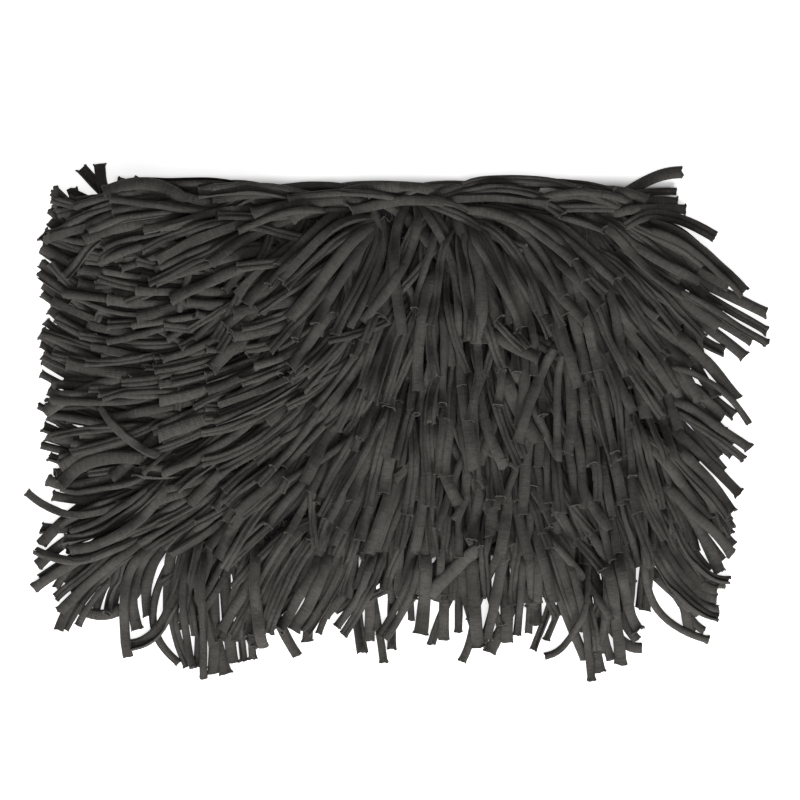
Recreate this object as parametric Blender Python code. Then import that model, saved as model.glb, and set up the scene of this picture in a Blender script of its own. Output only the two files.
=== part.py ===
"""Snuffle mat: a flat anti-slip backing sheet under a thick pile of soft jersey strips.

The pile is one lumpy slab: its top has the lumps of tufts combed along the lie of the strips, and
at its rim single strips grow out of the wall, flop down and come to rest on the floor or on each
other. Lengths are in metres, headings in degrees anticlockwise from +X, seen from above.
"""

import math

import bmesh
import bpy
import numpy as np

MM = 0.001

# Backing sheet
SHEET_LENGTH = 324 * MM  # along X
SHEET_WIDTH = 216 * MM  # along Y
SHEET_THICKNESS = 2.5 * MM
SHEET_CORNER_RADIUS = 14 * MM
CLEARANCE = 0.4 * MM  # between pieces that rest on each other

# Pile
COLUMNS = 52  # cells of its top along X
ROWS = 36  # and along Y
CROWN_HEIGHT = 16 * MM  # of the pile's top at its middle, without the lumps
RIM_HEIGHT = 11 * MM  # and at its rim
RIM_STEP_HEIGHT = 5 * MM  # the wall's lower strips grow below this height, the upper ones above it
LEAST_OVERHANG = 10 * MM  # of the pile's rim past the sheet
RIM_SHARE = 0.25  # of the way from the sheet's edge to the strip tips, where the rim is
RIM_WANDER = 3 * MM  # in and out
RIM_WAVES = (13, 29)  # round the rim
STEP_NEAR = 3 * MM  # the underside goes down from the sheet to the floor
STEP_FAR = 6 * MM  # between these distances past the sheet

# Tufts, as lumps on the pile's top
TUFT_PITCH = 29 * MM
TUFT_LENGTH = 60 * MM
TUFT_WIDTH = 26 * MM
TUFT_HEIGHT = 15 * MM
TUFT_DISORDER = 5 * MM
TUFT_TURN = 12  # degrees that a tuft may lie off the flow
LUMP_SOFTENING = 0.3

# Strips that hang out at the rim
STRIP_WIDTH = 7.4 * MM
STRIP_THICKNESS = 3.6 * MM  # with its rolled edges
STRIP_SPREAD = 0.1  # share that widths vary by
TIP_SPREAD = 11 * MM  # how far a tip may fall short of the outline, or pass it by half as much
SHORTEST_STRIP = 16 * MM
LONGEST_STRIP = 78 * MM
MOST_SLANT = 38  # degrees off the rim's own direction
FAN = 13  # degrees of disorder in a strip's heading
TRIES = 14  # headings tried for each strip, of which the one that rests lowest is kept
TALLEST_REST = 13 * MM  # a root is left bare where every try rests higher
CUT_COST = 5  # how much worse a cut into a neighbour is than as much height
BEND_SPREAD = 14  # degrees that a strip turns by along its length
RING_SHARES = (0.3, 0.55, 0.8, 1.0)  # of a strip's length, where its sections lie
WALL_SHARE = 0.12  # of the first stretch, which is fused into the pile
ROOT_SHARE = 0.4  # of the first stretch, which can't be lifted
SETTLING_STEPS = 40

# How far the strip tips reach from the mat's middle
OUTLINE = (
    # (bearing, reach in mm)
    (0, 208), (8, 216), (20, 205), (36, 208), (47, 174), (62, 141), (90, 125), (116, 140),
    (134, 176), (146, 205), (155, 236), (165, 223), (180, 218), (194, 221), (205, 243), (214, 252),
    (224, 238), (234, 226), (243, 202), (252, 174), (270, 157), (280, 166), (297, 199), (308, 225),
    (319, 240), (330, 234), (345, 206), (360, 208),
)

# The lie of the pile: strip headings on a grid over the mat
FLOW_X = np.array((-207, -165, -116, -49, 18, 85, 146, 207)) * MM
FLOW_ROWS = (
    # (y in mm, heading at each FLOW_X)
    (-177, (230, 240, 262, 255, 255, 262, 290, 330)),
    (-134, (215, 230, 252, 265, 255, 268, 285, 318)),
    (-85, (188, 205, 240, 262, 262, 278, 292, 305)),
    (-37, (172, 165, 180, 225, 262, 275, 292, 310)),
    (12, (160, 167, 178, 215, 262, 282, 290, 318)),
    (61, (145, 175, 185, 215, 265, 300, 300, 325)),
    (110, (150, 172, 185, 215, 265, 320, 352, 350)),
)

GRID_STEP = 0.7 * MM  # of the relief that the strips are laid over
GRID_REACH = 300 * MM


def fresh_scene():
    for thing in list(bpy.data.objects):
        bpy.data.objects.remove(thing, do_unlink=True)


def cloth_material(name, colour, roughness):
    material = bpy.data.materials.new(name)
    material.use_nodes = True
    shader = material.node_tree.nodes["Principled BSDF"]
    shader.inputs["Base Color"].default_value = (*colour, 1.0)
    shader.inputs["Roughness"].default_value = roughness
    shader.inputs["Metallic"].default_value = 0.0
    return material


def unit(heading):
    return np.array((math.cos(math.radians(heading)), math.sin(math.radians(heading))))


def bearing_of(xy):
    return math.degrees(math.atan2(xy[1], xy[0])) % 360


def flow_heading(xy):
    """Heading of the pile at a place, read between the rows and columns of the flow table."""
    row_y = np.array([row[0] for row in FLOW_ROWS]) * MM
    at_x = [np.interp(xy[0], FLOW_X, row[1]) for row in FLOW_ROWS]
    return float(np.interp(xy[1], row_y, at_x))


def tip_reach(bearing):
    bearings, reaches = zip(*OUTLINE)
    return float(np.interp(bearing % 360, bearings, reaches)) * MM


def sheet_reach(bearing):
    """How far the sheet's rounded rectangle reaches along a bearing."""
    along = np.abs(unit(bearing))
    inner = np.array((SHEET_LENGTH, SHEET_WIDTH)) / 2 - SHEET_CORNER_RADIUS
    reach = min((inner + SHEET_CORNER_RADIUS) / np.maximum(along, 1e-9))
    if np.all(reach * along > inner):
        towards = along @ inner
        reach = towards + math.sqrt(towards**2 - inner @ inner + SHEET_CORNER_RADIUS**2)
    return reach


def rim_reach(bearing):
    sheet = sheet_reach(bearing)
    wander = sum(math.sin(math.radians(bearing * waves)) for waves in RIM_WAVES) / len(RIM_WAVES)
    overhang = max(LEAST_OVERHANG, RIM_SHARE * (tip_reach(bearing) - sheet))
    return sheet + overhang + RIM_WANDER * wander


def tufts(rng):
    """Places and headings of the tufts, in staggered rows over the whole pile."""
    found = []
    rows = int(180 * MM / TUFT_PITCH)
    columns = int(230 * MM / TUFT_PITCH)
    for j in range(-rows, rows + 1):
        for i in range(-columns, columns + 1):
            place = np.array((i + 0.5 * (j % 2), j)) * TUFT_PITCH
            place = place + rng.uniform(-1, 1, 2) * TUFT_DISORDER
            heading = flow_heading(place) + rng.uniform(-1, 1) * TUFT_TURN
            found.append((place, unit(heading), TUFT_HEIGHT * rng.uniform(0.7, 1.0)))
    return found


def lump_height(xy, tuft_list):
    """Height of the tufts at a place: each rises along its length, and ends bluntly."""
    highest = 0.0
    for place, along, height in tuft_list:
        away = xy - place
        run = (away @ along) / TUFT_LENGTH
        off = (away[1] * along[0] - away[0] * along[1]) / (TUFT_WIDTH / 2)
        if 0 < run < 1 and abs(off) < 1:
            rise = min(run / 0.55, 1.0) * math.sqrt(1 - max(0.0, (run - 0.7) / 0.3) ** 2)
            highest = max(highest, height * rise * math.sqrt(1 - off**2))
    return highest


class Relief:
    """The height of whatever lies on the floor so far, on a square grid in plan."""

    def __init__(self):
        side = int(2 * GRID_REACH / GRID_STEP) + 1
        self.height = np.full((side, side), -CLEARANCE)

    def index(self, points):
        return np.round((points + GRID_REACH) / GRID_STEP).astype(int)

    def under(self, points):
        """Greatest height within a step of each point."""
        at = self.index(points)
        around = [
            self.height[at[..., 0] + i, at[..., 1] + j] for i in (-1, 0, 1) for j in (-1, 0, 1)
        ]
        return np.max(around, axis=0)

    def lay(self, points, tops):
        at = self.index(points)
        np.maximum.at(self.height, (at[..., 0], at[..., 1]), tops)


def stretch_samples(start, end, side_start, side_end, half_width):
    """Points over one stretch of a strip, as (along, across, xy), and each one's share of it."""
    share = np.linspace(0, 1, 2 + int(np.linalg.norm(end - start) / GRID_STEP))
    across = np.linspace(-1, 1, 2 + int(2 * half_width / GRID_STEP)) * half_width
    middle = start + share[:, None] * (end - start)
    side = side_start + share[:, None] * (side_end - side_start)
    return middle[:, None, :] + across[None, :, None] * side[:, None, :], share


def plan_of(root, out, slant, bend, length):
    """Places and sideways directions of a strip's sections, seen from above."""
    heading = out + slant
    shares = np.array((0.0, *RING_SHARES))
    places = [root]
    headings = []
    for before, after in zip(shares[:-1], shares[1:]):
        turned = heading + bend * (before + after) / 2
        places.append(places[-1] + unit(turned) * length * (after - before))
        headings.append(turned)
    at_ring = [out] + [(a + b) / 2 for a, b in zip(headings, headings[1:])] + [headings[-1]]
    at_ring[1] = out + (at_ring[1] - out) / 2  # the first section still faces out of the wall
    return places, [np.array((-unit(h)[1], unit(h)[0])) for h in at_ring]


def plan_to_outline(root, out, slant, bend, past):
    """Plan of a strip that is as long as it takes to pass the outline by so much."""
    length = SHORTEST_STRIP
    while length < LONGEST_STRIP:
        tip = plan_of(root, out, slant, bend, length)[0][-1]
        if np.linalg.norm(tip) > tip_reach(bearing_of(tip)) + past:
            break
        length += 1 * MM
    return plan_of(root, out, slant, bend, length)


def resting_heights(relief, places, sides, half_width, root_low):
    """Lowest underside of each section that keeps every stretch clear of what lies below, and
    how far the strip still cuts into its neighbours close to its root."""
    needs = []
    for k in range(len(places) - 1):
        points, share = stretch_samples(
            places[k], places[k + 1], sides[k], sides[k + 1], half_width
        )
        needs.append((relief.under(points).max(axis=1) + CLEARANCE, share))
    height = np.zeros(len(places))
    height[0] = root_low
    for _ in range(SETTLING_STEPS):
        for k, (need, share) in enumerate(needs):
            short = need - (height[k] * (1 - share) + height[k + 1] * share)
            if k == 0:
                short[share < ROOT_SHARE] = 0
            at = int(np.argmax(short))
            if short[at] > 0:
                if share[at] > 0.5 or k == 0:
                    height[k + 1] += short[at] / share[at]
                else:
                    height[k] += short[at] / (1 - share[at])
    need, share = needs[0]
    near = (share > WALL_SHARE) & (share < ROOT_SHARE)
    cut = (need - height[0] * (1 - share) - height[1] * share)[near].max(initial=0.0)
    return height, cut


def press_into(relief, places, sides, half_width, height, root_top):
    tops = np.array((root_top, *(height[1:] + STRIP_THICKNESS)))
    for k in range(len(places) - 1):
        points, share = stretch_samples(
            places[k], places[k + 1], sides[k], sides[k + 1], half_width
        )
        top = tops[k] * (1 - share) + tops[k + 1] * share
        relief.lay(points, np.broadcast_to(top[:, None], points.shape[:2]))


def ring_corners(place, side, half_width, low):
    """Four corners of a strip's section, in order round it."""
    left, right = place + side * half_width, place - side * half_width
    high = low + STRIP_THICKNESS
    return [np.array((*xy, z)) for xy, z in ((right, low), (left, low), (left, high), (right, high))]


def grow(bm, face, rings):
    """Extrudes a face through the sections of a strip."""
    start = [np.array(vert.co) for vert in face.verts]
    middle = np.mean(start, axis=0)
    first = rings[0] - np.mean(rings[0], axis=0)
    fits = []
    for turned in (1, -1):
        for shift in range(4):
            order = [(shift + turned * k) % 4 for k in range(4)]
            apart = sum(np.linalg.norm(start[k] - middle - first[order[k]]) for k in range(4))
            fits.append((apart, order))
    order = min(fits)[1]
    for ring in rings:
        face = bmesh.ops.extrude_discrete_faces(bm, faces=[face])["faces"][0]
        for vert, corner in zip(face.verts, order):
            vert.co = ring[corner]


def bare_pile(rng):
    """The lumpy slab, with its wall's faces in a lower and an upper row."""
    bm = bmesh.new()
    bmesh.ops.create_grid(bm, x_segments=COLUMNS, y_segments=ROWS, size=1)
    tuft_list = tufts(rng)
    for vert in bm.verts:
        u, v = vert.co.x, vert.co.y
        out = max(abs(u), abs(v))
        bearing = bearing_of((u * SHEET_LENGTH, v * SHEET_WIDTH)) if out > 0 else 0
        xy = unit(bearing) * rim_reach(bearing) * out
        dome = RIM_HEIGHT + (CROWN_HEIGHT - RIM_HEIGHT) * (1 - out**4)
        vert.co = (*xy, dome + lump_height(xy, tuft_list) * (1 - 0.6 * out**6))
    inside = [vert for vert in bm.verts if not vert.is_boundary]
    bmesh.ops.smooth_vert(
        bm, verts=inside, factor=LUMP_SOFTENING, use_axis_x=True, use_axis_y=True, use_axis_z=True
    )

    def skirt(edges, place):
        """Extrudes the open edge loop and puts each new corner where place says."""
        made = bmesh.ops.extrude_edge_only(bm, edges=edges)["geom"]
        for vert in [x for x in made if isinstance(x, bmesh.types.BMVert)]:
            bearing = bearing_of(vert.co)
            vert.co = place(bearing)
        faces = [x for x in made if isinstance(x, bmesh.types.BMFace)]
        return [e for e in bm.edges if e.is_boundary], faces

    def around(reach, height):
        return lambda bearing: (*(unit(bearing) * reach(bearing)), height)

    floor = SHEET_THICKNESS + CLEARANCE
    loop = [edge for edge in bm.edges if edge.is_boundary]
    loop, upper = skirt(loop, around(rim_reach, RIM_STEP_HEIGHT))
    loop, lower = skirt(loop, around(rim_reach, 0))
    loop, _ = skirt(loop, around(lambda b: sheet_reach(b) + STEP_FAR, 0))
    loop, _ = skirt(loop, around(lambda b: sheet_reach(b) + STEP_NEAR, floor))
    bmesh.ops.contextual_create(bm, geom=loop)
    bmesh.ops.recalc_face_normals(bm, faces=bm.faces)
    return bm, upper, lower


def hang_strips(bm, faces, first_column, relief, rng):
    """Grows a strip from every other face of one row of the wall, and lays it to rest."""
    centres = [np.array(face.calc_center_median()) for face in faces]
    order = sorted(range(len(faces)), key=lambda k: bearing_of(centres[k]))
    chosen = order[first_column::2]
    rng.shuffle(chosen)
    hung = 0
    for k in chosen:
        root = centres[k][:2]
        out = bearing_of(np.array(faces[k].normal)[:2])
        lie = (flow_heading(root) - out + 180) % 360 - 180
        half_width = STRIP_WIDTH / 2 * (1 + STRIP_SPREAD * rng.uniform(-1, 1))
        past = rng.uniform(-1, 0.5) * TIP_SPREAD
        levels = [vert.co.z for vert in faces[k].verts]
        rests = []
        for _ in range(TRIES):
            slant = np.clip(lie + rng.normal(0, FAN), -MOST_SLANT, MOST_SLANT)
            places, sides = plan_to_outline(root, out, slant, rng.normal(0, BEND_SPREAD), past)
            height, cut = resting_heights(relief, places, sides, half_width, min(levels))
            rests.append((height.max() + CUT_COST * cut, places, sides, height))
        cost, places, sides, height = min(rests, key=lambda rest: rest[0])
        if cost > TALLEST_REST:
            continue
        hung += 1
        press_into(relief, places, sides, half_width, height, max(levels))
        rings = [
            ring_corners(place, side, half_width, low)
            for place, side, low in zip(places[1:], sides[1:], height[1:])
        ]
        grow(bm, faces[k], rings)
    return hung


def pile(collection):
    rng = np.random.default_rng(14)
    bm, upper, lower = bare_pile(rng)
    relief = Relief()
    count = hang_strips(bm, lower, 0, relief, rng)
    count += hang_strips(bm, upper, 1, relief, rng)
    bmesh.ops.recalc_face_normals(bm, faces=bm.faces)
    mesh = bpy.data.meshes.new("pile")
    bm.to_mesh(mesh)
    bm.free()
    mesh.materials.append(cloth_material("charcoal_jersey", (0.048, 0.046, 0.043), 0.95))
    collection.objects.link(bpy.data.objects.new("pile", mesh))
    print(f"{count} strips at the rim, relief {relief.height.max() / MM:.1f} mm")


def backing_sheet(collection):
    outline = bpy.data.curves.new("backing_outline", "CURVE")
    outline.dimensions = "2D"
    outline.fill_mode = "BOTH"
    outline.extrude = SHEET_THICKNESS / 2
    spline = outline.splines.new("POLY")
    corner_steps = 6
    points = []
    for quarter in range(4):
        sx = 1 if quarter in (0, 3) else -1
        sy = 1 if quarter in (0, 1) else -1
        for step in range(corner_steps + 1):
            angle = math.radians(90 * (quarter + step / corner_steps))
            x = sx * (SHEET_LENGTH / 2 - SHEET_CORNER_RADIUS) + SHEET_CORNER_RADIUS * math.cos(angle)
            y = sy * (SHEET_WIDTH / 2 - SHEET_CORNER_RADIUS) + SHEET_CORNER_RADIUS * math.sin(angle)
            points.append((x, y))
    spline.points.add(len(points) - 1)
    for point, (x, y) in zip(spline.points, points):
        point.co = (x, y, 0, 1)
    spline.use_cyclic_u = True
    sheet = bpy.data.objects.new("backing_sheet", outline)
    sheet.location.z = SHEET_THICKNESS / 2
    collection.objects.link(sheet)
    outline.materials.append(cloth_material("anti_slip_backing", (0.02, 0.02, 0.021), 0.85))


def main():
    fresh_scene()
    collection = bpy.data.collections.new("snuffle_mat")
    bpy.context.scene.collection.children.link(collection)
    backing_sheet(collection)
    pile(collection)


main()
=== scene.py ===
import math

import bpy
import numpy as np
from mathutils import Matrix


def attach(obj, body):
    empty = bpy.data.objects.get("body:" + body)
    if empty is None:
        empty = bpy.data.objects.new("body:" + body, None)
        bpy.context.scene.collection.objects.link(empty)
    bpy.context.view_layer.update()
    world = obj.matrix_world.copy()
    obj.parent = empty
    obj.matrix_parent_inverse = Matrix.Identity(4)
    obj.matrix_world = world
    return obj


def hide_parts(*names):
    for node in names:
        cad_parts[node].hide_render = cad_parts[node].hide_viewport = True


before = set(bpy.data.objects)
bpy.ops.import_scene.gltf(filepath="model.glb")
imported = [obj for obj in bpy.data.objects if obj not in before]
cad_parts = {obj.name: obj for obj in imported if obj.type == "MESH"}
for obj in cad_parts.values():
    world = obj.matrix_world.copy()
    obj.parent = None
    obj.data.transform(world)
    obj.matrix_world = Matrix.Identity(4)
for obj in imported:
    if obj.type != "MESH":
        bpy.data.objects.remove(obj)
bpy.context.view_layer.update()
bpy.ops.object.select_all(action="DESELECT")

mm = 0.001

# Camera, straight above the mat as in the picture

picture = {
    "across": 488 * mm,  # of floor that the picture shows
    "middle": (0.0, -18.3 * mm, 12 * mm),
    "lens": 85.0,
    "sensor": 36.0,
}


def addCamera():
    height = picture["across"] * picture["lens"] / picture["sensor"]
    x, y, z = picture["middle"]
    bpy.ops.object.camera_add(location=(x, y, z + height), rotation=(0, 0, 0))
    camera = bpy.context.object
    camera.data.lens = picture["lens"]
    camera.data.sensor_width = picture["sensor"]
    camera.data.dof.use_dof = False
    bpy.context.scene.camera = camera


addCamera()
print("camera set")

# Everything from here to the sewing is in millimetres, with headings in degrees anticlockwise
# from +X

sheetSize = (324.0, 216.0)  # of the backing

# The lie of the pile, on a grid over the mat
flowX = (-207, -165, -116, -49, 18, 85, 146, 207)
flowRows = (
    # (y, heading at each flowX)
    (-177, (230, 240, 252, 255, 255, 262, 290, 330)),
    (-134, (215, 225, 243, 255, 258, 268, 285, 318)),
    (-85, (188, 203, 232, 250, 262, 275, 290, 305)),
    (-37, (168, 168, 190, 232, 262, 276, 288, 306)),
    (12, (155, 158, 170, 215, 263, 278, 288, 312)),
    (61, (150, 156, 176, 208, 265, 287, 297, 320)),
    (110, (150, 158, 180, 205, 265, 300, 330, 345)),
)

# Where the rows near the top edge part to both sides. Of a pair, the first is the value at the
# parting and the second the value far out.
parting = {
    "x": 18.0,
    "y": 110.0,
    "farOut": 180.0,
    "topRow": 99.5,  # tufts above it arch over the edge and back down
    "archOut": (62, 80),  # degrees from straight up
    "archBend": (42, 30),
    "unsure": 0.3,  # how much chance has a say in the side that a strip takes
    "fallBack": 0.6,  # share that falls back over the pile at the parting
    "fallFade": 2.5,  # how soon that share runs out to either side
    "fallSpread": 20.0,
    "secondRow": 84.0,  # tufts above it, below the top row, lie outwards
    "leftOut": (14, 102),  # degrees from straight down
    "rightOut": (14, 56),
    "outSooner": 1.25,
    "outBend": 12,
}


def flowHeading(place):
    rowY = [row[0] for row in flowRows]
    atX = [np.interp(place[0], flowX, row[1]) for row in flowRows]
    return float(np.interp(place[1], rowY, atX))


def mixed(ends, run):
    return ends[0] + (ends[1] - ends[0]) * run


# Heading of a strip in a tuft, and how far it bends, or None where it follows the lie
def stripLie(place):
    out = (parting["x"] - place[0]) / parting["farOut"]
    atTop = place[1] > parting["topRow"]
    side = math.copysign(1, out + (rng.normal(0, parting["unsure"]) if atTop else 0))
    out = min(abs(out), 1.0)
    if atTop and rng.random() < parting["fallBack"] * (1 - parting["fallFade"] * out):
        return rng.normal(270, parting["fallSpread"]), 0
    if atTop:
        return 90 + side * mixed(parting["archOut"], out), side * mixed(parting["archBend"], out)
    if place[1] > parting["secondRow"]:
        ends = parting["leftOut" if side > 0 else "rightOut"]
        away = mixed(ends, min(parting["outSooner"] * out, 1))
        return 270 - side * away, side * parting["outBend"]
    return flowHeading(place), None


def along(heading):
    return np.stack((np.cos(np.radians(heading)), np.sin(np.radians(heading))), axis=-1)


# Edge of the dense pile, then the strips that stand out beyond it or lie across it

pileEdge = np.array((
    (-207, 107), (-198, 110), (-183, 104), (-178, 110), (-159, 114), (-143, 116), (-134, 115),
    (-91, 117), (0, 118), (91, 117), (139, 110), (146, 104), (171, 101), (160, 88), (183, 70),
    (207, 46), (198, 37), (204, 21), (186, 15), (190, 3), (202, -18), (196, -27), (201, -37),
    (210, -52), (198, -54), (199, -62), (192, -73), (204, -91), (206, -110), (198, -119),
    (196, -140), (192, -152), (177, -146), (159, -131), (152, -140), (143, -140), (139, -152),
    (146, -165), (134, -171), (122, -174), (113, -162), (98, -155), (88, -159), (73, -159),
    (61, -162), (49, -168), (43, -155), (34, -152), (24, -143), (15, -140), (0, -152),
    (-9, -162), (-24, -140), (-34, -143), (-43, -149), (-52, -159), (-67, -152), (-76, -155),
    (-82, -165), (-95, -174), (-107, -177), (-122, -182), (-131, -177), (-139, -146),
    (-143, -140), (-152, -137), (-162, -125), (-174, -128), (-183, -128), (-198, -134),
    (-207, -152), (-213, -140), (-220, -131), (-221, -119), (-221, -107), (-206, -90),
    (-213, -82), (-216, -73), (-207, -64), (-216, -49), (-218, -37), (-220, -24), (-215, -9),
    (-220, 0), (-221, 15), (-218, 30), (-218, 43), (-221, 55), (-221, 67), (-220, 82),
    (-215, 95), (-212, 104),
))

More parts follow.
